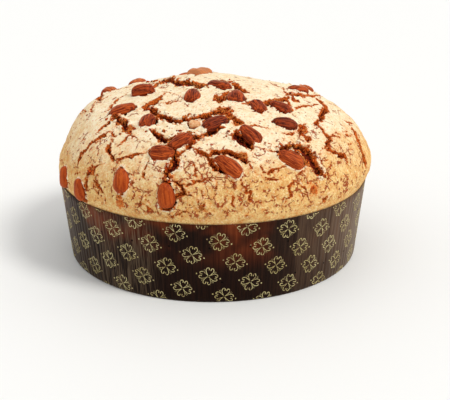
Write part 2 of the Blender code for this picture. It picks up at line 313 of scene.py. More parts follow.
# The fluting presses the wall inwards along upright lines, some of them deeper than others.
fluting, given, out = node_group("Fluting", Flutes=FLUTES, Depth=FLUTE_DEPTH, Wall=BASE_RADIUS,
                                 Paper="")
level, outward, turn = about_axis(add_node(fluting, "GeometryNodeInputPosition").outputs[0])
wander = times(cloud(outward, 1 / 9, 0.0), 3.0)
wave = maths("COSINE", plus(times(turn, given["Flutes"]), wander))
uneven = fade(cloud(outward, 1 / 26, 1.0), 0.30, 0.70, 0.15, 1.0)
radius = feed("ShaderNodeVectorMath", {0: level}, "Value", operation="LENGTH")
on_wall = fade(radius, minus(given["Wall"], 0.003), given["Wall"])
press = times(maths("MULTIPLY_ADD", wave, 0.5, 0.5), uneven, given["Depth"], on_wall, -1.0)
moved = feed("GeometryNodeSetPosition", {"Geometry": given["Geometry"], "Offset": scaled(outward, press)})
end_group(moved, given["Paper"], out)


def place_on(tree):
    """Where a point of a piece lies."""
    return add_node(tree, "ShaderNodeTexCoord").outputs["Object"]


def facing(tree):
    """One where a surface is seen edge on, zero where it is seen straight."""
    return add_node(tree, "ShaderNodeLayerWeight", {"Blend": 0.30}).outputs["Facing"]


def finish_off(shader, colour, roughness, shine, relief, depth):
    """Gives a shader its colour, roughness, shine and relief, whose full depth is in metres."""
    tree = shader.id_data
    tree.links.new(colour, shader.inputs["Base Color"])
    tree.links.new(roughness, shader.inputs["Roughness"])
    shader.inputs["Specular IOR Level"].default_value = shine
    bump = feed("ShaderNodeBump", {"Height": relief, "Distance": depth, "Strength": 1.0})
    tree.links.new(bump, shader.inputs["Normal"])


brown_paper, tree, shader = new_finish("brown greaseproof paper")
place = place_on(tree)
x, _, height = xyz(place)
_, outward, turn = about_axis(place)
out_x, out_y, _ = xyz(outward)
streaks = cloud(from_xyz(out_x, out_y, times(height, 0.35)), 1 / 110, 3.0, 0.65)
blotches = cloud(place, 1 / 28, 3.0, 0.55)
greasy = times(fade(blotches, 0.42, 0.66), fade(height, 0.020, 0.052))
fibres = fade(streaks, 0.35, 0.65)
dark = tint(fibres, paint(23, 11, 7), paint(38, 20, 12))
warm = tint(fibres, paint(96, 38, 15), paint(120, 56, 27))
tone = tint(greasy, dark, warm)

# Past the glued seam the paper stays dry and pale; it darkens again further round. The paling grows towards
# the right edge, and that growth is a painted sheen of the window's light.
dry_and_sheen_tone = tint(fade(streaks, 0.30, 0.70), paint(74, 52, 40), paint(116, 92, 72))
past_seam = times(fade(turn, SEAM_TURN, SEAM_TURN + 0.008),
                  fade(turn, SEAM_TURN, SEAM_TURN + 0.65, 0.42, 1.15))
before_seam = times(fade(turn, SEAM_TURN - 0.30, SEAM_TURN), 0.16)
dry_and_sheen = times(plus(past_seam, before_seam), fade(turn, 1.6, 1.0), fade(height, 0.006, 0.036, 0.60, 1.05))
tone = tint(times(dry_and_sheen, 0.75), tone, dry_and_sheen_tone)
# Left of the middle of the front the paper is painted pale in streaks: a painted highlight, the window's
# reflection in the satin paper.
wear_and_highlight = times(fade(turn, math.radians(-150.0), math.radians(-132.0)),
               fade(turn, math.radians(-106.0), math.radians(-116.0)),
               fade(streaks, 0.42, 0.66, 0.0, 0.60))
tone = tint(wear_and_highlight, tone, paint(112, 94, 74))
# Painted sheen: the paper is paled where it is seen edge on, more on the right, towards the window.
painted_sheen = times(fade(facing(tree), 0.25, 0.95, 0.0, 0.80), fade(x, -0.085, 0.0, 0.55, 1.0))
tone = tint(painted_sheen, tone, paint(136, 118, 100))

# The vent holes are not cut: each is a painted dark spot, painted shade of a hole, rougher and dented a
# little in the relief.
vents = []
for row_height, first in VENT_ROWS:
    along = maths("PINGPONG", minus(turn, math.radians(first)), math.pi / VENTS)
    along = times(along, MIDDLE_RADIUS)
    up = minus(height, row_height)
    away = maths("SQRT", plus(times(along, along), times(up, up)))
    vents.append(fade(away, VENT_RADIUS * 1.25, VENT_RADIUS * 0.75))
vent = maths("MAXIMUM", *vents)
tone = tint(vent, tone, paint(14, 7, 5))
gloss = tint(vent, fade(streaks, 0.30, 0.70, 0.36, 0.52), (0.9, 0.9, 0.9, 1.0))
ribs = minus(times(streaks, 0.10), times(vent, 0.5))
finish_off(shader, tone, gloss, 0.05, ribs, 0.001)

case = new_object("fluted_case", case_mesh)
run_group(case, fluting, Flutes=FLUTES, Depth=FLUTE_DEPTH, Wall=BASE_RADIUS, Paper=brown_paper)
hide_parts("paper_case")
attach(case, "root")


# The gold print. One small flower of four hearts, drawn in thin lines with short rays and two
# dots, is printed over and over in slanting rows, and the strip is cut through it at both edges.
LINE = 0.00050
RAY_LINE = 0.00014
INK = 0.00006
# The flower's lines in millimetres from its middle: half a heart, and the ends and slant of a ray.
HEART = ((0.3, 0.35), (1.0, 1.15), (1.7, 2.2), (2.3, 3.3), (2.55, 4.5), (2.15, 5.6), (1.35, 6.0),
         (0.75, 5.5), (0.55, 4.8), (0.8, 4.3))
RAYS = ((4.2, 6.0, 4.0), (4.2, 6.0, -4.0))
DOT_AWAY = 7.8
DOT_RADIUS = 0.5
FLOWER_TURN = -14.0
FIRST_FLOWER = (0.0049, 0.0442, 0.0)
DOWN_ROW = (0.01025, -0.01509, 0.0)
UP_ROW = (0.01720, 0.00970, 0.0)
ROUND_CASE = 0.6661
ROW_COUNT = 64
FLOWER_REACH = 0.007
TOP_MARGIN = 0.0005
FOOT_MARGIN = 0.0008


def smooth_path(points, steps):
    """Points on a smooth curve through the given points."""
    points = [Vector((x, y, 0.0)) for x, y in points]
    ends = [2 * points[0] - points[1]] + points + [2 * points[-1] - points[-2]]
    path = []
    for a, b, c, d in zip(ends, ends[1:], ends[2:], ends[3:]):
        for step in range(steps):
            t = step / steps
            path.append(0.5 * (2 * b + (c - a) * t + (2 * a - 5 * b + 4 * c - d) * t * t
                               + (3 * b - a - 3 * c + d) * t * t * t))
    return path + [points[-1]]


def draw_line(mesh, path, widths, lift):
    """A flat closed ribbon of ink along a path."""
    sections = []
    for index, point in enumerate(path):
        ahead = path[min(index + 1, len(path) - 1)] - path[max(index - 1, 0)]
        side = Vector((-ahead.y, ahead.x, 0.0)).normalized() * widths[index] / 2
        low = Vector((0.0, 0.0, -INK))
        high = Vector((0.0, 0.0, lift))
        sections.append([mesh.verts.new(point + side + low), mesh.verts.new(point - side + low),
                         mesh.verts.new(point - side + high), mesh.verts.new(point + side + high)])
    for first, second in zip(sections, sections[1:]):
        for corner in range(4):
            after = (corner + 1) % 4
            mesh.faces.new((first[corner], first[after], second[after], second[corner]))
    mesh.faces.new(reversed(sections[0]))
    mesh.faces.new(sections[-1])


flower = bmesh.new()
for quarter in range(4):
    lean = Matrix.Rotation(math.radians(90.0 * quarter + FLOWER_TURN), 3, "Z")
    for number, side in enumerate((1.0, -1.0)):
        path = smooth_path([(x * side * 0.001, y * 0.001) for x, y in HEART], 2)
        last = len(path) - 1
        widths = [LINE * (0.55 + 0.45 * min(1.0, 1.5 * index / last)) for index in range(last + 1)]
        draw_line(flower, [lean @ point for point in path], widths, INK * (1.0 + 0.1 * number))
    for near, far, aside in RAYS:
        slant = Matrix.Rotation(math.radians(45.0 + aside), 3, "Z")
        path = [lean @ slant @ Vector((0.0, reach * 0.001, 0.0)) for reach in (near, (near + far) / 2, far)]
        draw_line(flower, path, [RAY_LINE, RAY_LINE * 1.2, RAY_LINE * 0.8], INK)
lean = Matrix.Rotation(math.radians(FLOWER_TURN), 3, "Z")
for side in (1.0, -1.0):
    middle = lean @ Vector((DOT_AWAY * 0.001 * side, 0.0, 0.0))
    bmesh.ops.create_cone(flower, segments=10, radius1=DOT_RADIUS * 0.001, radius2=DOT_RADIUS * 0.001,
                          depth=2 * INK, cap_ends=True, matrix=Matrix.Translation(middle))
bmesh.ops.recalc_face_normals(flower, faces=flower.faces)
flower_mesh = as_mesh("flower", flower, smooth=False)

# Rows of flowers are laid out flat, bent round the wall, and pressed into its fluting.
printing, given, out = node_group("Slanting rows of a print", First=FIRST_FLOWER, Down_row=DOWN_ROW,
                                  Up_row=UP_ROW, Count=ROW_COUNT, Round=ROUND_CASE,
                                  Height=CASE_HEIGHT, Base=BASE_RADIUS, Rim=RIM_RADIUS)
number = add_node(printing, "GeometryNodeInputIndex").outputs[0]
middle_row = maths("DIVIDE", given["Count"], 2.0)
row = minus(maths("FLOOR", maths("DIVIDE", number, given["Count"])), middle_row)
column = minus(maths("MODULO", number, given["Count"]), middle_row)
spot = arrows("ADD", scaled(given["Down row"], row), scaled(given["Up row"], column))
spot = arrows("ADD", spot, given["First"])
points = feed("GeometryNodePoints", {"Count": times(given["Count"], given["Count"]), "Position": spot})
x, y, z = xyz(add_node(printing, "GeometryNodeInputPosition").outputs[0])
before = maths("LESS_THAN", x, 0.0)
beyond = maths("GREATER_THAN", x, minus(given["Round"], 0.0002))
under = maths("LESS_THAN", y, -FLOWER_REACH)
over = maths("GREATER_THAN", y, plus(given["Height"], FLOWER_REACH))
outside = maths("MAXIMUM", maths("MAXIMUM", before, beyond), maths("MAXIMUM", under, over))
kept = feed("GeometryNodeDeleteGeometry", {"Geometry": points, "Selection": outside}, domain="POINT")
copies = feed("GeometryNodeInstanceOnPoints", {"Points": kept, "Instance": given["Geometry"]})
flat = feed("GeometryNodeRealizeInstances", {0: copies})
turn = minus(maths("DIVIDE", x, maths("DIVIDE", given["Round"], 2.0 * math.pi)), math.pi / 2)
slope = maths("DIVIDE", minus(given["Rim"], given["Base"]), given["Height"])
wall = plus(maths("MULTIPLY_ADD", slope, y, given["Base"]), z)
bent = from_xyz(times(wall, maths("COSINE", turn)), times(wall, maths("SINE", turn)), y)
wrapped = feed("GeometryNodeSetPosition", {"Geometry": flat, "Position": bent})
printing.links.new(wrapped, out["Geometry"])

gold_ink, tree, shader = new_finish("gold ink")
wear_and_highlight = cloud(place_on(tree), 1 / 900)
patchy = cloud(place_on(tree), 1 / 60)
gold = tint(fade(patchy, 0.35, 0.65), paint(186, 170, 108), paint(212, 200, 144))
gold = tint(fade(wear_and_highlight, 0.62, 0.48), paint(120, 96, 62), gold)
shader.inputs["Metallic"].default_value = 0.15
finish_off(shader, gold, fade(wear_and_highlight, 0.30, 0.70, 0.42, 0.62), 0.4, times(wear_and_highlight, 0.04), 0.001)

print_lines = new_object("gold_print", flower_mesh)
run_group(print_lines, printing)
run_group(print_lines, fluting, Flutes=FLUTES, Depth=FLUTE_DEPTH, Wall=BASE_RADIUS, Paper=gold_ink)
trim = bmesh.new()
trim.from_mesh(print_lines.data)
for height, upward in ((CASE_HEIGHT - TOP_MARGIN, 1.0), (FOOT_MARGIN, -1.0)):
    everything = trim.verts[:] + trim.edges[:] + trim.faces[:]
    bmesh.ops.bisect_plane(trim, geom=everything, dist=1e-7, clear_outer=True,
                           plane_co=(0.0, 0.0, height), plane_no=(0.0, 0.0, upward))
    bmesh.ops.holes_fill(trim, edges=[edge for edge in trim.edges if edge.is_boundary], sides=0)
trim.to_mesh(print_lines.data)
trim.free()
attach(print_lines, "root")


# The loaf. A sweet yeast dough that has risen over the rim and baked to an amber crumb; it is
# torn open under the splits of the icing, where rough toasted walls go down into the dark.
GAP = 0.0003
DOME_HEIGHT = 0.064
DOME_POWER = 0.76
RIM_BULGE = 0.0012
SIDE_BULGE = 0.0072
ICING = 0.0045
SKIRT = 0.004
BASE_EDGE = 0.003
BACK_TURN = 176
RAY_REACH = 0.11
SPLIT_DEPTH = 0.0080
CRACK_DEPTH = 0.0034
# Metres of half width for each millimetre that a row gives; thin cracks open a little less.
WIDE_HALF = 0.0005
THIN_HALF = 0.00042
# Soft swellings of the dome: azimuth, level, size, and how far they spread.
SWELLS = ((180, 0.40, -0.0030, 40, 0.20), (172, 0.80, 0.0084, 40, 0.15),
          (0, 0.20, 0.0026, 42, 0.17), (262, 0.50, 0.0010, 40, 0.25),
          (75, 0.55, 0.0015, 45, 0.25))
# Humps and hollows on top: place, size, and how far they spread.
HUMPS = ((0.000, 0.040, 0.0012, 0.024), (-0.050, 0.030, -0.0026, 0.026),
         (0.045, -0.020, 0.0010, 0.025), (-0.030, -0.045, -0.0010, 0.020),
         (0.030, 0.045, -0.0022, 0.035))
# Splits in the crust: width in millimetres, whether they reach the crumb, and the way they take,
# as azimuth and fall from the top in degrees.
CROWN_SPLITS = (
    (9.5, True, ((140, 33), (134, 27), (160, 16), (188, 10), (237, 8), (291, 5), (35, 9))),
    (5.0, False, ((1, 8), (319, 12), (321, 17))),
    (4.6, False, ((275, 16), (277, 21), (296, 13))),
    (4.4, False, ((211, 20), (220, 25), (219, 28), (220, 31), (224, 33), (227, 31))),
    (6.2, True, ((226, 31), (234, 34), (244, 36), (250, 37), (256, 36), (263, 35), (267, 33),
                 (272, 30), (282, 28))),
    (4.0, False, ((281, 32), (284, 36), (288, 40))),
    (2.0, False, ((288, 40), (295, 41), (299, 44))),
    (3.8, False, ((295, 25), (304, 29), (320, 28), (330, 30), (342, 30))),
    (3.4, False, ((342, 30), (346, 31), (355, 35), (6, 40), (23, 50))),
)
FLANK_SPLITS = (
    (4.4, True, ((211, 43), (217, 43), (223, 44), (227, 47), (234, 51))),
    (5.4, True, ((240, 45), (245, 47), (250, 50), (253, 49), (256, 46), (260, 47), (263, 47),
                 (266, 45), (269, 44), (272, 42), (276, 41))),
    (5.6, True, ((282, 43), (281, 47), (284, 51), (287, 54))),
    (5.2, True, ((256, 58), (257, 63), (254, 67), (256, 72))),
    (6.4, True, ((296, 58), (302, 56), (307, 58), (309, 64), (309, 70), (311, 75))),
    (4.4, False, ((270, 57), (272, 55), (276, 55), (280, 58), (282, 60), (284, 65))),
    (3.2, False, ((263, 54), (267, 56), (269, 58), (271, 63), (273, 67))),
    (2.5, False, ((227, 69), (224, 74), (221, 78), (221, 81), (222, 86))),
    (4.6, False, ((4, 42), (356, 44), (350, 46), (338, 46), (331, 48))),
    (3.4, False, ((331, 47), (326, 49), (326, 52), (325, 55), (325, 58), (322, 60), (320, 63),
                  (322, 66), (323, 68), (326, 70), (327, 73))),
    (4.2, False, ((350, 60), (347, 64), (344, 68), (341, 74), (339, 82))),
    (3.2, False, ((320, 47), (315, 47), (312, 50), (315, 54), (311, 57))),
    (3.6, False, ((219, 51), (219, 54), (218, 57), (216, 61), (215, 63), (215, 66), (213, 69),
                  (213, 75))),
    (3.6, False, ((213, 44), (214, 47), (214, 49), (213, 52), (213, 55))),
    (2.6, False, ((256, 71), (259, 72), (261, 77), (258, 80), (257, 84))),
    (3.0, False, ((226, 58), (227, 61), (230, 63), (232, 67))),
    (3.8, False, ((263, 50), (260, 54), (258, 57), (256, 60))),
    (6.0, True, ((344, 30), (350, 32), (355, 34))),
)
BACK_SPLITS = (0, 1, 2, 4, 5, 8, 9, 10, 12, 14)
# Thin cracks that only mark the icing, read off the crust one by one in the same way.
THIN_CRACKS = (
    (2.2, ((338, 29), (345, 29), (355, 27), (8, 26), (26, 24))), (3.0, ((341, 30), (334, 31), (326, 35))),
    (4.4, ((315, 46), (317, 47), (318, 49))), (2.6, ((313, 49), (314, 52), (313, 54))),
    (2.2, ((350, 56), (351, 59), (355, 62))), (1.5, ((336, 61), (340, 63), (344, 64))),
    (1.8, ((208, 66), (208, 62), (208, 57))), (1.6, ((220, 51), (223, 52), (226, 53))),
    (2.6, ((325, 58), (328, 58), (331, 60))), (2.4, ((321, 61), (319, 61), (317, 61))),
    (1.8, ((328, 49), (325, 48), (322, 48))), (1.5, ((311, 64), (314, 64), (316, 64))),
    (2.8, ((326, 37), (332, 37), (338, 38), (344, 40), (350, 42))),
    (1.3, ((324, 34), (321, 38), (322, 40))), (1.2, ((313, 38), (314, 41))),
    (1.5, ((323, 50), (329, 50))), (1.6, ((327, 57), (333, 58))), (1.3, ((316, 62), (319, 61))),
    (1.5, ((303, 49), (302, 52), (303, 55))), (2.0, ((303, 48), (308, 49), (312, 49))),
    (1.8, ((289, 54), (293, 56), (296, 59))), (1.6, ((293, 50), (295, 53), (294, 55))),
    (1.4, ((309, 63), (312, 63))), (1.3, ((312, 67), (316, 68))), (1.4, ((333, 66), (336, 66))),
    (1.4, ((337, 59), (341, 61))), (1.3, ((331, 67), (335, 70))), (1.3, ((322, 79), (324, 82))),
    (1.5, ((311, 74), (313, 75), (315, 74))), (1.7, ((308, 84), (311, 87), (313, 84))),
    (2.0, ((300, 73), (302, 71), (305, 69))), (2.0, ((300, 76), (302, 77), (303, 80), (304, 82))),
    (1.7, ((299, 74), (297, 77), (297, 81), (295, 84))), (1.4, ((286, 82), (287, 84))),
    (1.4, ((283, 85), (281, 88))), (2.2, ((288, 63), (288, 66), (290, 68), (294, 67), (297, 66))),
    (1.6, ((286, 69), (289, 71), (292, 72), (295, 72))), (2.0, ((284, 66), (286, 68))),
    (2.0, ((280, 70), (281, 74), (281, 76), (283, 78), (283, 81), (281, 84))),
    (1.8, ((277, 70), (277, 73), (278, 76))), (1.4, ((276, 77), (277, 80), (277, 83))),
    (1.5, ((272, 70), (272, 73), (271, 76), (271, 80), (272, 83))), (1.5, ((273, 82), (275, 84))),
    (1.8, ((265, 78), (266, 80), (266, 83), (267, 85))), (1.6, ((267, 76), (268, 80), (268, 83))),
    (1.4, ((265, 86), (268, 85), (270, 86))), (1.5, ((261, 60), (263, 62), (265, 65), (265, 70))),
    (1.3, ((265, 65), (267, 64))),
    (1.6, ((260, 73), (263, 73), (264, 71), (268, 70), (271, 69))),
    (1.4, ((260, 73), (261, 76), (264, 79))), (1.4, ((257, 88), (260, 86), (263, 85))),
    (1.4, ((260, 83), (262, 81))), (1.5, ((246, 82), (247, 84), (244, 87))),
    (1.5, ((247, 84), (249, 86), (248, 89))), (1.4, ((249, 79), (247, 81), (250, 84))),
    (2.0, ((247, 60), (246, 67), (247, 72))),
    (2.4, ((245, 57), (242, 59), (240, 61), (237, 62), (232, 66))),
    (2.4, ((232, 50), (231, 53), (231, 56), (230, 58))), (2.2, ((232, 50), (235, 50), (238, 52))),
    (2.2, ((221, 57), (219, 59), (217, 60))),
    (1.3, ((223, 54), (227, 57))), (1.7, ((226, 76), (226, 79), (228, 81), (230, 82), (232, 87))),
    (2.0, ((243, 72), (242, 76), (242, 79))), (1.4, ((216, 78), (212, 81))),
    (2.2, ((179, 31), (188, 33), (194, 36), (198, 39), (203, 43))),
    (1.6, ((176, 38), (182, 43), (190, 47), (196, 46))), (1.6, ((178, 57), (184, 54), (188, 52))),
    (1.5, ((200, 21), (213, 18), (228, 18), (240, 21), (234, 25), (226, 27))),
    (1.3, ((303, 20), (301, 24), (299, 28))), (1.3, ((190, 83), (197, 80), (203, 83))),
    (4.4, ((190, 23), (175, 22), (160, 22), (148, 22), (140, 27))), (2.8, ((309, 54), (307, 55), (305, 56))),
    (1.8, ((225, 78), (226, 82), (229, 85))), (1.8, ((173, 55), (178, 54), (188, 50))),
    (1.6, ((184, 46), (175, 44), (165, 45))),
)
# The thin cracks that the back has too.
BACK_THIN = slice(4, 50)
# Patches that have lost their icing: azimuth, fall and radius.
BARE_PATCHES = ((278, 29, 0.0058), (307, 65, 0.0050), (223, 75, 0.0036), (172, 13, 0.0050),
                (281, 34, 0.0036), (284, 38, 0.0034), (282, 58, 0.0030), (152, 24, 0.0040),
                (220, 44, 0.0038), (213, 43, 0.0028), (20, 51, 0.0030),
                (190, 7, 0.0052), (225, 5, 0.0044), (156, 18, 0.0046),
                (228, 47, 0.0040), (306, 81, 0.0036), (278, 19, 0.0046), (238, 83, 0.0019),
                (238, 85, 0.0020), (238, 88, 0.0022), (267, 84, 0.0022), (325, 29, 0.0040),
                (340, 33, 0.0034), (316, 49, 0.0034))


def bell(distance, width):
    """One in the middle, fading to nothing past the width."""
    return np.exp(-(distance / width) ** 2)


def rise(value, start, end):
    """Zero before start, one after end, smooth between."""
    share = np.clip((value - start) / (end - start), 0.0, 1.0)
    return share * share * (3.0 - 2.0 * share)


def grain(points, size, seed=0.0):
    """Smooth chance values, about -0.6 to 0.6; size is the width of a blotch in metres."""
    shift = np.array((seed * 3.7, seed * 5.3, seed * 7.1))
    return np.array([noise.noise(place) for place in (points / size + shift).tolist()])


def stray(points, size, reach, seed=0.0):
    """The points moved about by chance, by reach at most; size is the width of a wave."""
    moves = [grain(points, size, seed + step) for step in (0.0, 11.0, 23.0)]
    return points + np.column_stack(moves) * reach


def direction(azimuth, fall):
    """Unit vector from the middle of the rim."""
    turn = math.radians(azimuth)
    lean = math.radians(fall)
    return np.array((math.sin(lean) * math.cos(turn), math.sin(lean) * math.sin(turn),
                     math.cos(lean)))


def wall_radius(height):
    """Inside radius of the case at a height."""
    return BASE_RADIUS + (RIM_RADIUS - BASE_RADIUS) * height / CASE_HEIGHT - PAPER


def turn_apart(rays, azimuth):
    """Degrees round the axis between each ray and an azimuth."""
    turns = np.degrees(np.arctan2(rays[:, 1], rays[:, 0]))
    return (turns - azimuth + 180.0) % 360.0 - 180.0


def dome_points(rays):
    """Points of the risen dome's surface, one for each unit vector."""
    level = np.hypot(rays[:, 0], rays[:, 1])
    around = rays[:, :2] / np.maximum(level, 1e-9)[:, None]
    share = np.maximum(rays[:, 2], 0.0) ** DOME_POWER
    bulge = RIM_BULGE + SIDE_BULGE * share * (1.0 - share)
    for azimuth, height, size, spread, band in SWELLS:
        bulge += size * bell(turn_apart(rays, azimuth), spread) * bell(share - height, band)
    radius = wall_radius(CASE_HEIGHT) - GAP + bulge * (1.0 - bell(share, 0.05))
    flat = around * (radius * level)[:, None]
    lift = 0.0008 * grain(rays, 1 / 5.5) + 0.0005 * grain(rays, 1 / 13.0)
    for x, y, size, spread in HUMPS:
        lift += size * bell(np.hypot(flat[:, 0] - x, flat[:, 1] - y), spread)
    height = CASE_HEIGHT + DOME_HEIGHT * share + lift * share
    return np.column_stack((flat, height))


def unit_rows(vectors):
    """Each row made one long."""
    return vectors / np.maximum(np.linalg.norm(vectors, axis=1), 1e-12)[:, None]


def dome_normals(rays):
    """Outward unit vectors of the dome's surface."""
    upward = np.array((0.0, 0.0, 1.0))
    east = unit_rows(np.cross(upward, rays) + np.array((0.0, 1e-9, 0.0)))
    north = np.cross(rays, east)
    step = 0.004
    along = dome_points(unit_rows(rays + east * step)) - dome_points(unit_rows(rays - east * step))
    across = dome_points(unit_rows(rays + north * step)) - dome_points(unit_rows(rays - north * step))
    normals = unit_rows(np.cross(along, across))
    flat = rays[:, 2] < 0.004
    normals[flat] = unit_rows(rays[flat] * np.array((1.0, 1.0, 0.0)))
    return normals


def split_rays(way, spacing):
    """Unit vectors every few millimetres along a way over the dome."""
    corners = [direction(azimuth, fall) for azimuth, fall in way]
    rays = []
    for start, end in zip(corners, corners[1:]):
        steps = max(1, round(float(np.linalg.norm(end - start)) * RAY_REACH / spacing))
        rays += [start + (end - start) * step / steps for step in range(steps)]
    return unit_rows(np.array(rays + [corners[-1]]))


def turned_back(rows):
    """Splits like the front's, on the back of the dome."""
    return tuple((*row[:-1], tuple((azimuth + BACK_TURN, fall) for azimuth, fall in row[-1]))
                 for row in rows)


splits = CROWN_SPLITS + FLANK_SPLITS + turned_back(FLANK_SPLITS[index] for index in BACK_SPLITS)
thin_cracks = tuple((width, False, way) for width, way in THIN_CRACKS)
all_cracks = splits + thin_cracks + turned_back(thin_cracks[BACK_THIN])


def split_pieces(rows, spacing):
    """Short straight pieces of the splits: their ends, half widths there, and depth."""
    pieces = []
    for width, through, way in rows:
        share = WIDE_HALF if width > 2.9 else THIN_HALF
        rays = split_rays(way, spacing)
        places = dome_points(rays)
        count = len(places) - 1
        swing = 0.95 + 0.70 * grain(places, 0.007, width)
        for index in range(count):
            ends = [min(1.0, 0.30 + 0.35 * min(spot, count - spot) * spacing / 0.003)
                    for spot in (index, index + 1)]
            halves = [share * width * ends[k] * swing[index + k] for k in range(2)]
            depth = SPLIT_DEPTH if through else min(CRACK_DEPTH, 0.0003 + width * 0.0009)
            pieces.append((places[index], places[index + 1], *halves, depth))
    return pieces


def split_depths(points, pieces, slope):
    """How deep the splits cut at the points, and how far outside the nearest edge they are."""
    depths = np.zeros(len(points))
    outside = np.full(len(points), 0.05)
    for start, end, first, second, depth in pieces:
        middle = (start + end) / 2.0
        reach = np.linalg.norm(end - start) / 2.0 + max(first, second) + 0.010
        close = np.nonzero((np.abs(points - middle) < reach).all(axis=1))[0]
        if not len(close):
            continue
        way = end - start
        off = points[close] - start
        share = np.clip(off @ way / (way @ way), 0.0, 1.0)
        away = np.linalg.norm(off - share[:, None] * way, axis=1)
        half = first + (second - first) * share
        inside = half - away
        cut_in = depth * rise(inside, 0.0, np.minimum(slope, half * 0.9))
        depths[close] = np.maximum(depths[close], cut_in)
        outside[close] = np.minimum(outside[close], -inside)
    return depths, outside


def half_ball(level):
    """Upper half of a ball of even triangles, open at its equator."""
    ball = bmesh.new()
    bmesh.ops.create_icosphere(ball, subdivisions=level, radius=1.0)
    for vert in ball.verts:
        if abs(vert.co.z) < 0.6 / 2 ** level:
            vert.co.z = 0.0
    everything = ball.verts[:] + ball.edges[:] + ball.faces[:]
    bmesh.ops.bisect_plane(ball, geom=everything, dist=1e-5, clear_inner=True,
                           plane_co=(0.0, 0.0, 0.0), plane_no=(0.0, 0.0, 1.0))
    bmesh.ops.triangulate(ball, faces=[face for face in ball.faces if len(face.verts) > 3])
    return ball


def rays_of(ball):
    """The ball's vertices as unit vectors, the equator kept level."""
    return unit_rows(np.array([vert.co[:] for vert in ball.verts]))


def refine(ball, wanted):
    """Halves the edges that have an end in reach, where its wanted value is zero or less."""
    ball.verts.index_update()
    edges = [edge for edge in ball.edges
             if min(wanted[edge.verts[0].index], wanted[edge.verts[1].index]) <= 0.0]
    bmesh.ops.subdivide_edges(ball, edges=edges, cuts=1, use_grid_fill=True)
    bmesh.ops.triangulate(ball, faces=[face for face in ball.faces if len(face.verts) > 3])


def close_below(mesh, rings):
    """Carries the open edge down through rings of radius and height, and closes it."""
    for radius, height in rings:
        border = [edge for edge in mesh.edges if edge.is_boundary]
        for item in bmesh.ops.extrude_edge_only(mesh, edges=border)["geom"]:
            if isinstance(item, bmesh.types.BMVert):
                around = Vector((item.co.x, item.co.y, 0.0)).normalized()
                item.co = around * radius + Vector((0.0, 0.0, height))
    border = [edge for edge in mesh.edges if edge.is_boundary]
    bottom = bmesh.ops.edgeloop_fill(mesh, edges=border)["faces"]
    bmesh.ops.poke(mesh, faces=bottom)
    bmesh.ops.recalc_face_normals(mesh, faces=mesh.faces)


def set_places(mesh, places):
    """Puts each vertex at its row of places."""
    for vert, place in zip(mesh.verts, places.tolist()):
        vert.co = place


def keep_values(mesh, **values):
    """Numbers kept on the vertices, for the materials to read; later vertices get zero."""
    for name, row in values.items():
        layer = mesh.attributes.new(name, "FLOAT", "POINT")
        full = np.zeros(len(mesh.vertices), dtype=np.float32)
        full[:len(row)] = row
        layer.data.foreach_set("value", full)


wide_pieces = split_pieces([row for row in splits if row[1]], 0.003)
crumb = half_ball(6)
for nearness in (0.0045, 0.0030, 0.0012):
    spots = dome_points(rays_of(crumb))
    refine(crumb, split_depths(spots, wide_pieces, 0.001)[1] - nearness)
rays = rays_of(crumb)
spots = dome_points(rays)
ragged = stray(stray(spots, 0.006, 0.0010, 1.0), 0.0020, 0.0005, 2.0)
deep, outside = split_depths(ragged, wide_pieces, 0.0012)
sunk = ICING + GAP - 0.0018 * rise(deep, 0.0020, 0.0070)
in_split = rise(outside, 0.0015, 0.0)
rough = 0.0007 * grain(spots, 0.0019, 3.0) + 0.0005 * grain(spots, 0.0009, 4.0)
top = spots - dome_normals(rays) * (sunk + rough * in_split)[:, None]
set_places(crumb, top)
shoulder = CASE_HEIGHT - SKIRT - GAP
foot = PAPER + GAP
close_below(crumb, ((wall_radius(shoulder) - ICING - 2.0 * GAP, shoulder),
                    (wall_radius(shoulder) - GAP, shoulder),
                    (wall_radius(foot + BASE_EDGE) - GAP, foot + BASE_EDGE),
                    (wall_radius(foot) - GAP - BASE_EDGE, foot)))
loaf_mesh = as_mesh("loaf", crumb)
keep_values(loaf_mesh, torn=in_split)


def value_of(tree, name):
    """A number kept on the mesh."""
    return add_node(tree, "ShaderNodeAttribute", attribute_name=name).outputs["Fac"]


# Baked crumb is full of small holes and toasted grains, in the loaf and on loose bits of it.
crumb_grain = bpy.data.node_groups.new("Toasted crumb grain", "ShaderNodeTree")
for title, way, kind in (("Place", "INPUT", "Vector"), ("Size", "INPUT", "Float"),
                         ("Grain", "OUTPUT", "Float"), ("Holes", "OUTPUT", "Float"),
                         ("Height", "OUTPUT", "Float")):
    crumb_grain.interface.new_socket(title, in_out=way, socket_type="NodeSocket" + kind)
given = crumb_grain.nodes.new("NodeGroupInput").outputs
out = crumb_grain.nodes.new("NodeGroupOutput").inputs
scale = maths("DIVIDE", 1.0, given["Size"])
lumps = feed("ShaderNodeTexNoise", {"Vector": given["Place"], "Scale": scale, "Detail": 4.0,
                                    "Roughness": 0.65})
cells = feed("ShaderNodeTexVoronoi", {"Vector": given["Place"], "Scale": scale}, "Distance", feature="F1")
pores = fade(cells, 0.42, 0.18)
crumb_grain.links.new(fade(lumps, 0.34, 0.66), out["Grain"])
crumb_grain.links.new(pores, out["Holes"])
crumb_grain.links.new(minus(lumps, times(pores, 0.5)), out["Height"])


def crumb_of(place, size):
    """Grain, holes and relief of crumb whose grains have a size in metres."""
    return add_node(place.id_data, "ShaderNodeGroup", {"Place": place, "Size": size},
                    node_tree=crumb_grain).outputs


baked_crumb, tree, shader = new_finish("baked crumb")
fine = crumb_of(place_on(tree), 0.0016)
patchy = cloud(place_on(tree), 1 / 180)
toast = tint(fade(patchy, 0.38, 0.62), paint(232, 100, 27), paint(248, 150, 64))
toast = tint(fine["Grain"], paint(132, 27, 5), toast)
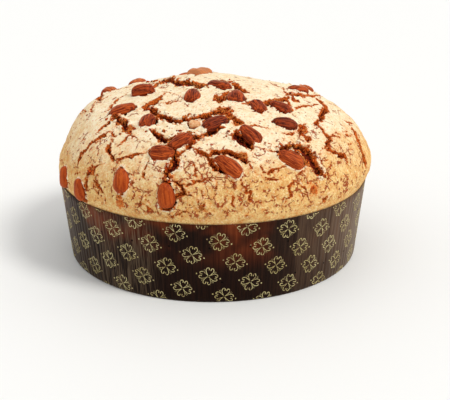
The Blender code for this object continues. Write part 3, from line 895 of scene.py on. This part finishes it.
# Where the loaf shows at the floor of the splits it is painted darker: painted shade in the deep, narrow
# splits.
split_floor_shade = tint(fine["Grain"], paint(62, 10, 4), paint(142, 44, 14))
toast = tint(value_of(tree, "torn"), toast, split_floor_shade)
# The pores are painted near black: painted shade inside the small holes.
toast = tint(times(fine["Holes"], 0.9), toast, paint(46, 8, 3))
finish_off(shader, toast, fade(patchy, 0.3, 0.7, 0.62, 0.85), 0.1, fine["Height"], 0.0009)

loaf_mesh.materials.append(baked_crumb)
loaf = new_object("baked_loaf", loaf_mesh)
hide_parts("loaf")
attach(loaf, "root")


# The icing. Beaten egg white, sugar and ground nuts are spread on the dough with whole almonds
# pressed into it; in the oven it dries to a pale brittle crust, browner low down, and cracks.
ALMOND_LENGTH = 0.0190
ALMOND_WIDTH = 0.0112
ALMOND_THICKNESS = 0.0074
ALMOND_SUNK = 0.0036
ALMOND_RAISED = 0.00006
BED_DEPTH = 0.0046
BED_LIP = 0.0013
SPLIT_LIP = 0.0009
CRACK_LIP = 0.0003
PATCH_DEPTH = 0.0009
# Almonds: azimuth, fall from the top, turn, share of the full length, and lean to the front.
ALMONDS = (
    (158, 44, 60, 0.75, 0), (137, 44, 20, 0.80, 0), (197, 26, 65, 0.86, 38), (246, 18, 108, 0.80, 8),
    (211, 38, 62, 0.94, 4), (234, 40, 112, 0.74, 0), (272, 38, 30, 0.95, 0), (257, 50, 222, 0.86, 0),
    (251, 57, -2, 0.86, 0), (238, 75, 105, 0.84, 0), (109, 18, 130, 0.84, 10), (99, 27, 110, 0.85, 8),
    (290, 7, -50, 0.96, 6), (296, 19, 62, 0.88, 4), (304, 29, 75, 0.76, 0), (319, 33, 108, 0.80, 0),
    (5, 33, 111, 0.86, 4), (309, 43, 142, 0.90, 0), (288, 46, 117, 0.94, 0), (276, 63, 139, 1.04, 0),
    (300, 63, 137, 0.96, 0), (261, 39, 5, 0.40, 0), (255, 79, 100, 0.86, 0), (218, 86, 115, 0.80, 0),
    (205, 85, 119, 0.78, 0), (29, 45, -40, 0.70, 0),
)
BACK_ALMONDS = (8, 9, 18, 19, 20, 22, 23, 24)
# Stretches where the icing is crazed: azimuth, spread to each side, and strength.
CRAZED = ((264, 34, 1.0), (312, 24, 0.75), (225, 16, 0.55), (264 + BACK_TURN, 38, 0.9), (20, 22, 0.6),
          (160, 18, 0.5))

almond_rows = list(ALMONDS)
for index in BACK_ALMONDS:
    azimuth, fall, turn, share, lean = ALMONDS[index]
    almond_rows.append((azimuth + BACK_TURN, fall, turn + 35, share, lean))
chance = random.Random(5)
almonds = []
for azimuth, fall, turn, share, lean in almond_rows:
    nub = share < 0.5
    size = (ALMOND_LENGTH * share,
            ALMOND_WIDTH * (0.55 if nub else chance.uniform(0.94, 1.08)),
            ALMOND_THICKNESS * (0.8 if nub else chance.uniform(0.92, 1.08)))
    bend = chance.uniform(-0.0005, 0.0005)
    ray = direction(azimuth, fall)
    normal = dome_normals(ray[None])[0]
    up = np.array(Matrix.Rotation(math.radians(lean), 3, "X") @ Vector(normal))
    around = np.array((-math.sin(math.radians(azimuth)), math.cos(math.radians(azimuth)), 0.0))
    climb = unit_rows(np.cross(up, around)[None])[0]
    around = np.cross(climb, up)
    turn = math.radians(turn)
    long_axis = around * math.cos(turn) + climb * math.sin(turn)
    axes = np.array((long_axis, np.cross(up, long_axis), up))
    out_of_dome = ALMOND_THICKNESS / 2.0 - ALMOND_SUNK + ALMOND_RAISED * lean
    almonds.append((dome_points(ray[None])[0] + normal * out_of_dome, axes, size, bend, nub))


def almond_edges(points, reach):
    """How far each point lies outside the nearest almond's outline, negative inside it."""
    outside = np.full(len(points), 0.05)
    for middle, axes, (length, width, _), bend, _ in almonds:
        close = np.nonzero((np.abs(points - middle) < length / 2 + reach).all(axis=1))[0]
        x, y, _ = ((points[close] - middle) @ axes.T).T
        along = np.clip(2.0 * x / length, -1.0, 1.0)
        taper = 1.0 - 0.15 * along - 0.06 * along * along
        y = y - bend * (1.0 - along * along)
        level = np.hypot(2.0 * x / length, 2.0 * y / (width * taper))
        away = np.hypot(x, y) * (1.0 - 1.0 / np.maximum(level, 0.05))
        outside[close] = np.minimum(outside[close], away)
    return outside


def crazing(rays):
    """Where the icing is crazed all over: low on the front and the back."""
    fall = np.degrees(np.arccos(np.clip(rays[:, 2], -1.0, 1.0)))
    share = np.zeros(len(rays))
    for azimuth, spread, strength in CRAZED:
        share = np.maximum(share, strength * bell(turn_apart(rays, azimuth), spread))
    return share * rise(fall, 40.0, 64.0)


slim_pieces = split_pieces([row for row in all_cracks if not row[1]], 0.003)
wide_pieces = split_pieces([row for row in splits if row[1]], 0.002)
crust = half_ball(6)
for wide_reach, slim_reach, bed_reach in ((0.0040, 0.0026, 0.0022), (0.0016, 0.0010, 0.0009),
                                          (0.0004, -0.0001, -0.01)):
    spots = dome_points(rays_of(crust))
    wanted = np.minimum(split_depths(spots, wide_pieces, 0.001)[1] - wide_reach,
                        split_depths(spots, slim_pieces, 0.001)[1] - slim_reach)
    refine(crust, np.minimum(wanted, np.abs(almond_edges(spots, 0.006)) - bed_reach))
rays = rays_of(crust)
spots = dome_points(rays)
outward = dome_normals(rays)
clear_of_rim = rise(spots[:, 2], CASE_HEIGHT + 0.0003, CASE_HEIGHT + 0.0040)
crazed = crazing(rays)
ragged = stray(stray(stray(spots, 0.0060, 0.0012, 5.0), 0.0022, 0.0012, 6.0), 0.0010, 0.0008, 13.0)
wide_deep, wide_outside = split_depths(ragged, wide_pieces, 0.0012)
slim_deep, slim_outside = split_depths(ragged, slim_pieces, 0.0006)
patch_deep = np.zeros(len(rays))
bare = np.zeros(len(rays))
for azimuth, fall, radius in BARE_PATCHES:
    middle = dome_points(direction(azimuth, fall)[None])[0]
    away = np.linalg.norm(ragged - middle, axis=1) / radius
    patch_deep = np.maximum(patch_deep, PATCH_DEPTH * rise(away, 1.05, 0.70))
    bare = np.maximum(bare, rise(away, 1.05, 0.85))
beside = almond_edges(spots, 0.012)
gap_width = -0.0003 + 0.0017 * rise(grain(spots, 0.0085, 7.0), -0.08, 0.30)
bed_deep = BED_DEPTH * rise(-beside, -gap_width, 0.0007 - gap_width)
bed_lip = BED_LIP * bell(beside - gap_width - 0.0002, 0.0013) * (0.75 + 0.5 * grain(spots, 0.004, 8.0))

coarse = grain(spots, 0.0160, 9.0)
middling = grain(spots, 0.0055, 10.0)
small = grain(spots, 0.0022, 11.0)
tiny = grain(spots, 0.0010, 12.0)
cut = np.maximum.reduce((wide_deep, slim_deep, patch_deep, bed_deep))
lip = SPLIT_LIP * bell(wide_outside - 0.0012, 0.0015) * (0.5 + 1.2 * middling)
lip += CRACK_LIP * bell(slim_outside - 0.0007, 0.0008) * (0.6 + 1.2 * small)
plates = 0.0008 * coarse + 0.0005 * middling
plates += (0.00020 + 0.00055 * crazed) * small + 0.00015 * tiny
torn = rise(cut, 0.0002, 0.0012)
torn_rough = torn * (0.0011 * small + 0.0009 * tiny)
height = (plates + lip) * clear_of_rim * (1.0 - torn) + bed_lip + torn_rough - cut
set_places(crust, spots + outward * height[:, None])
hem = CASE_HEIGHT - SKIRT
close_below(crust, ((wall_radius(hem) - GAP, hem),))
icing_mesh = as_mesh("icing", crust)
edge_of_wide = rise(wide_outside, 0.0028, 0.0004) * (1.0 - rise(cut, 0.0001, 0.0006))
heaps = rise(wide_outside, 0.0040, 0.0004) * rise(grain(spots, 0.0070, 15.0), 0.05, 0.35)
on_walls = rise(wide_deep, 0.0002, 0.0010) * rise(wide_deep, 0.0042, 0.0026)
on_bare = bare * 0.7 * rise(spots[:, 2], 0.066, 0.074)
keep_values(icing_mesh, cut=cut * 1000.0, bare=bare, crazed=crazed,
            raised=np.maximum(lip, bed_lip * 0.6) * 1000.0,
            slim=np.minimum(slim_outside, wide_outside + 0.0002) * 1000.0,
            crumbs=np.maximum.reduce((on_walls, heaps * 0.6, on_bare)), flakes=edge_of_wide)


def crackle(place, size, wander, seed):
    """How far from the nearest crack of a net, in metres; size is the width of its meshes."""
    place = arrows("ADD", place, (seed, seed * 2.0, seed * 3.0))
    bends = arrows("SUBTRACT", cloud(place, size / 2.2, 2.0, 0.6, 1), (0.5, 0.5, 0.5))
    place = arrows("ADD", place, scaled(bends, wander))
    cells = feed("ShaderNodeTexVoronoi", {"Vector": place, "Scale": 1.0 / size}, "Distance",
                 feature="DISTANCE_TO_EDGE")
    return times(cells, size)


baked_icing, tree, shader = new_finish("baked icing")
place = place_on(tree)
x, _, z = xyz(place)
cut_value = value_of(tree, "cut")
crazed_value = value_of(tree, "crazed")
slim_value = value_of(tree, "slim")
fleck = cloud(place, 0.0011, 3.0, 0.65)
mottle = cloud(place, 0.0040, 3.0, 0.6)
broken = cloud(place, 0.0017, 2.0, 0.6)

# Cream and smooth on the crown, browner and full of toasted grains of nut and sugar near the rim. The tan is
# also painted a little deeper towards the right and paler towards the left: painted shade and painted light
# that even out the window's light from the right.
low_and_shaded = plus(z, maths("MULTIPLY_ADD", cloud(place, 0.0180), 0.034, -0.017))
low_and_shaded = fade(maths("MULTIPLY_ADD", x, -0.02, low_and_shaded), 0.108, 0.074)
cream = tint(fade(mottle, 0.34, 0.66), paint(246, 234, 202), paint(238, 216, 174))
tan = tint(fade(mottle, 0.36, 0.64), paint(240, 205, 136), paint(224, 171, 102))
skin = tint(low_and_shaded, cream, tan)
coarse_grain = times(fade(low_and_shaded, 0.0, 1.0, 0.10, 0.85), fade(x, -0.070, -0.010, 0.55, 1.0),
                     fade(fleck, 0.52, 0.66))
skin = tint(coarse_grain, skin, paint(198, 132, 68))
skin = tint(fade(fleck, 0.44, 0.30, 0.0, 0.6), skin, paint(255, 243, 212))
skin = tint(fade(value_of(tree, "raised"), 0.10, 0.55, 0.0, 0.65), skin, paint(255, 244, 214))

# Short broken cracks: a loose net on the crown, a dense one with burnt pits low on the front.
large_gap = maths("MULTIPLY_ADD", broken, 0.0016, minus(crackle(place, 0.0125, 0.0080, 1.0), 0.0008))
large_line = times(fade(large_gap, 0.00055, 0.00020), fade(cloud(place, 0.0120, 1.0), 0.58, 0.66))
lace_gap = maths("MULTIPLY_ADD", broken, 0.0012, minus(crackle(place, 0.0078, 0.0060, 2.0), 0.0006))
lace_where = plus(cloud(place, 0.0065, 1.0), times(crazed_value, 0.24))
lace_line = times(fade(lace_gap, 0.00056, 0.00020), fade(lace_where, 0.62, 0.72))
pit_cells = add_node(tree, "ShaderNodeTexVoronoi", {"Vector": place, "Scale": 1.0 / 0.0026}, feature="F1")
pit_pick = feed("ShaderNodeSeparateColor", {0: pit_cells.outputs["Color"]})
pit_pick = fade(plus(pit_pick, times(crazed_value, 0.22)), 0.86, 0.90)
pits = times(fade(pit_cells.outputs["Distance"], 0.34, 0.16), pit_pick)
lines = maths("MAXIMUM", maths("MAXIMUM", large_line, lace_line), pits)
lines = times(lines, fade(z, CASE_HEIGHT + 0.0025, CASE_HEIGHT + 0.0065))
near_crack = maths("MULTIPLY_ADD", minus(broken, 0.5), 1.5, slim_value)
wall_grain = crumb_of(place, 0.0014)
scorched_and_shaded = tint(wall_grain["Grain"], paint(82, 10, 2), paint(170, 50, 10))
skin = tint(fade(near_crack, 0.90, 0.10, 0.0, 0.62), skin, paint(216, 128, 48))
skin = tint(times(lines, 0.90), skin, paint(146, 42, 4))
# The middle of each crack is painted dark: the brown paste under the icing, deepened with painted shade.
skin = tint(fade(near_crack, 0.22, -0.02), skin, scorched_and_shaded)

# The walls of the splits: grains toasted orange under the broken edge, and painted shade that darkens
# between the grains and deeper down.
grain_swing = minus(0.5, wall_grain["Grain"])
depth_seen = maths("MULTIPLY_ADD", grain_swing, 3.2, cut_value)
edge_seen = maths("MULTIPLY_ADD", grain_swing, 0.6, cut_value)
toasted_and_shaded = tint(fade(depth_seen, 0.7, 4.0), paint(236, 116, 42), paint(80, 12, 4))
skin = tint(fade(edge_seen, 0.10, 0.45), skin, toasted_and_shaded)
bare_tone = tint(wall_grain["Grain"], paint(186, 82, 24), paint(238, 158, 82))
skin = tint(times(value_of(tree, "bare"), fade(depth_seen, 3.6, 2.2)), skin, bare_tone)

relief = maths("MULTIPLY_ADD", mottle, 0.00022, times(cloud(place, 0.0026, 1.0, 0.4), 0.00030))
relief = plus(relief, times(fleck, fade(low_and_shaded, 0.0, 1.0, 0.00004, 0.00048)))
relief = maths("MULTIPLY_ADD", lines, -0.00025, relief)
on_walls = times(wall_grain["Height"], fade(cut_value, 0.15, 0.80))
relief = maths("MULTIPLY_ADD", on_walls, 0.0014, relief)
finish_off(shader, skin, fade(mottle, 0.3, 0.7, 0.70, 0.88), 0.08, relief, 1.0)

icing_mesh.materials.append(baked_icing)
icing = new_object("cracked_icing", icing_mesh)
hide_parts("icing")
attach(icing, "root")


# The crumbs. Toasted bits of dough and broken flakes of icing lie in the splits, on the bare
# patches and along the broken edges, where the crust burst open in the oven.
CRUMB_SIZE = 0.00085
FLAKE_SIZE = 0.00080
ANY_TURN = 6.28

scattering, given, out = node_group("Scattered bits", Where=0.0, Per_area=1.0, Size=CRUMB_SIZE,
                                    Seed=1, Finish="")
spread = times(given["Where"], given["Per area"])
points = feed("GeometryNodeDistributePointsOnFaces",
              {"Mesh": given["Geometry"], "Density": spread, "Seed": given["Seed"]},
              distribute_method="RANDOM")
ball = add_node(scattering, "GeometryNodeMeshUVSphere", {"Segments": 7, "Rings": 5, "Radius": 1.0})
dents = add_node(scattering, "ShaderNodeTexNoise", {"Scale": 1.1, "Detail": 1.0}).outputs[1]
dents = scaled(arrows("SUBTRACT", dents, (0.5, 0.5, 0.5)), 1.9)
lump = feed("GeometryNodeSetPosition", {"Geometry": ball.outputs[0], "Offset": dents})
spin = feed("FunctionNodeRandomValue", {0: (0.0, 0.0, 0.0), 1: (ANY_TURN, ANY_TURN, ANY_TURN),
                                        "Seed": given["Seed"]}, data_type="FLOAT_VECTOR")
sizes = feed("FunctionNodeRandomValue", {2: times(given["Size"], 0.45), 3: times(given["Size"], 1.55),
                                         "Seed": given["Seed"]}, 1, data_type="FLOAT")
copies = feed("GeometryNodeInstanceOnPoints",
              {"Points": points, "Instance": lump, "Rotation": spin, "Scale": sizes})
end_group(copies, given["Finish"], out)


def scatter(name, ground, where, per_area, size, seed, finish):
    """Bits lying on a piece, as thick as the values kept on it say."""
    made = new_object(name, ground.data.copy())
    run_group(made, scattering, Where=where, Per_area=per_area, Size=size, Seed=seed, Finish=finish)
    made.data.shade_smooth()
    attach(made, "root")


scatter("toasted_crumbs", icing, "crumbs", 330000.0, CRUMB_SIZE, 3, baked_crumb)
scatter("loaf_crumbs", loaf, "torn", 120000.0, CRUMB_SIZE * 1.1, 4, baked_crumb)
scatter("icing_flakes", icing, "flakes", 150000.0, FLAKE_SIZE, 6, baked_icing)


# The almonds. Whole almonds in their brown skins, laid flat and half sunk in the icing before it
# bakes; the skin wrinkles lengthwise as they roast. One small piece of almond has no skin.
DARK_ALMONDS = (6, 17)


def almond_mesh(name, middle, axes, size, bend, number):
    """A wrinkled almond at its place: round at one end and drawn to a tip at the other."""
    body = bmesh.new()
    turn = Matrix.Rotation(math.radians(90.0), 4, "Y")
    bmesh.ops.create_uvsphere(body, u_segments=44, v_segments=30, radius=1.0, matrix=turn)
    ball = np.array([vert.co[:] for vert in body.verts])
    length, width, thickness = size
    along = ball[:, 0]
    taper = 1.0 - 0.15 * along - 0.06 * along * along
    blunt = 2.7
    ring = (1.0 - np.minimum(np.abs(along), 1.0) ** blunt) ** (1.0 / blunt)
    ring = ring / np.maximum(np.sqrt(np.maximum(1.0 - along * along, 0.0)), 1e-4)
    ring = np.where(np.abs(along) > 0.9999, 1.0, ring)
    local = np.column_stack((along * length / 2.0,
                             ball[:, 1] * ring * taper * width / 2.0 + bend * (1.0 - along * along),
                             ball[:, 2] * ring * (taper * 0.5 + 0.5) * thickness / 2.0))
    stretch = np.array((0.16, 1.0, 1.0))
    folds = grain(local * stretch, 0.0011, 20.0 + number) * 0.00016
    folds += grain(local * stretch, 0.0024, 50.0 + number) * 0.00026
    dents = grain(local, 0.0060, 80.0 + number) * 0.0005
    steady = 1.0 - 0.8 * np.abs(along) ** 6
    out_from_axis = unit_rows(ball * np.array((0.15, 1.0, 1.0)))
    local += out_from_axis * ((folds + dents) * steady - 0.00010)[:, None]
    set_places(body, local @ axes + middle)
    bmesh.ops.recalc_face_normals(body, faces=body.faces)
    mesh = as_mesh(name, body)
    layer = mesh.attributes.new("skin_place", "FLOAT_VECTOR", "POINT")
    shifted = local + np.array((0.0, 0.0, 0.05 * number))
    layer.data.foreach_set("vector", shifted.astype(np.float32).ravel())
    tone = 1.8 if number in DARK_ALMONDS else random.Random(number).uniform(0.0, 0.6)
    keep_values(mesh, tone=np.full(len(local), tone))
    return mesh


def skin_place(tree):
    """Where a point lies on an almond, along its own axes."""
    return add_node(tree, "ShaderNodeAttribute", attribute_name="skin_place").outputs["Vector"]


almond_skin, tree, shader = new_finish("roasted almond skin")
x, y, z = xyz(place_on(tree))
ridges = cloud(arrows("MULTIPLY", skin_place(tree), (0.11, 1.0, 1.0)), 0.00085, 3.0, 0.6)
veins = cloud(arrows("MULTIPLY", skin_place(tree), (0.11, 1.0, 1.0)), 0.0022)
freckles = cloud(skin_place(tree), 0.0007, 2.0, 0.6)
toned = value_of(tree, "tone")
# How brown the skin is: browner higher up and paler at the far left; almonds on the back of the dome are
# painted paler, a painted light. The dark almonds add to it.
brown_and_painted_light = times(fade(z, 0.080, 0.108), fade(y, -0.002, 0.012, 0.80, 0.10),
                fade(x, -0.075, -0.030, 0.40, 1.0))
brown_and_painted_light = maths("MULTIPLY_ADD", toned, 0.30, brown_and_painted_light)
light = tint(brown_and_painted_light, paint(212, 102, 40), paint(178, 70, 28))
dark = tint(brown_and_painted_light, paint(136, 40, 11), paint(62, 14, 6))
even = tint(brown_and_painted_light, paint(182, 78, 26), paint(136, 48, 18))
wrinkled = tint(fade(ridges, 0.36, 0.60), dark, light)
skin = tint(fade(z, 0.072, 0.098, 0.26, 1.0), even, wrinkled)
skin = tint(fade(veins, 0.52, 0.38, 0.0, 0.60), skin, dark)
skin = tint(fade(freckles, 0.58, 0.74, 0.0, 0.35), skin, paint(220, 120, 54))
# Painted sheen: almonds high on the far side of the crown are painted paler, as if they caught the light.
far_top_sheen = times(fade(y, 0.008, 0.020), fade(z, 0.106, 0.114), 0.45)
skin = tint(far_top_sheen, skin, paint(222, 158, 104))
skin = tint(fade(toned, 1.0, 1.8, 0.0, 0.36), skin, paint(58, 12, 8))
# Painted sheen: the skin is paled where it is seen edge on.
skin = tint(fade(facing(tree), 0.40, 0.95, 0.0, 0.60), skin, paint(222, 160, 112))
relief = maths("MULTIPLY_ADD", veins, 0.00050, times(ridges, 0.00040))
relief = times(relief, fade(z, 0.072, 0.098, 0.55, 1.0))
finish_off(shader, skin, fade(ridges, 0.3, 0.7, 0.58, 0.44), 0.08, relief, 1.0)

blanched_almond, tree, shader = new_finish("blanched almond")
toasty = cloud(skin_place(tree), 0.0022, 3.0, 0.6)
flesh = tint(fade(toasty, 0.36, 0.64), paint(236, 190, 138), paint(212, 142, 88))
finish_off(shader, flesh, fade(toasty, 0.3, 0.7, 0.42, 0.60), 0.4, toasty, 0.0004)

for number, (middle, axes, size, bend, nub) in enumerate(almonds):
    name = f"roasted_almond_{number + 1:02d}"
    mesh = almond_mesh(name, middle, axes, size, bend, number)
    mesh.materials.append(blanched_almond if nub else almond_skin)
    almond = new_object(name, mesh)
    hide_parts(f"almond_{number + 1:02d}")
    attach(almond, "root")
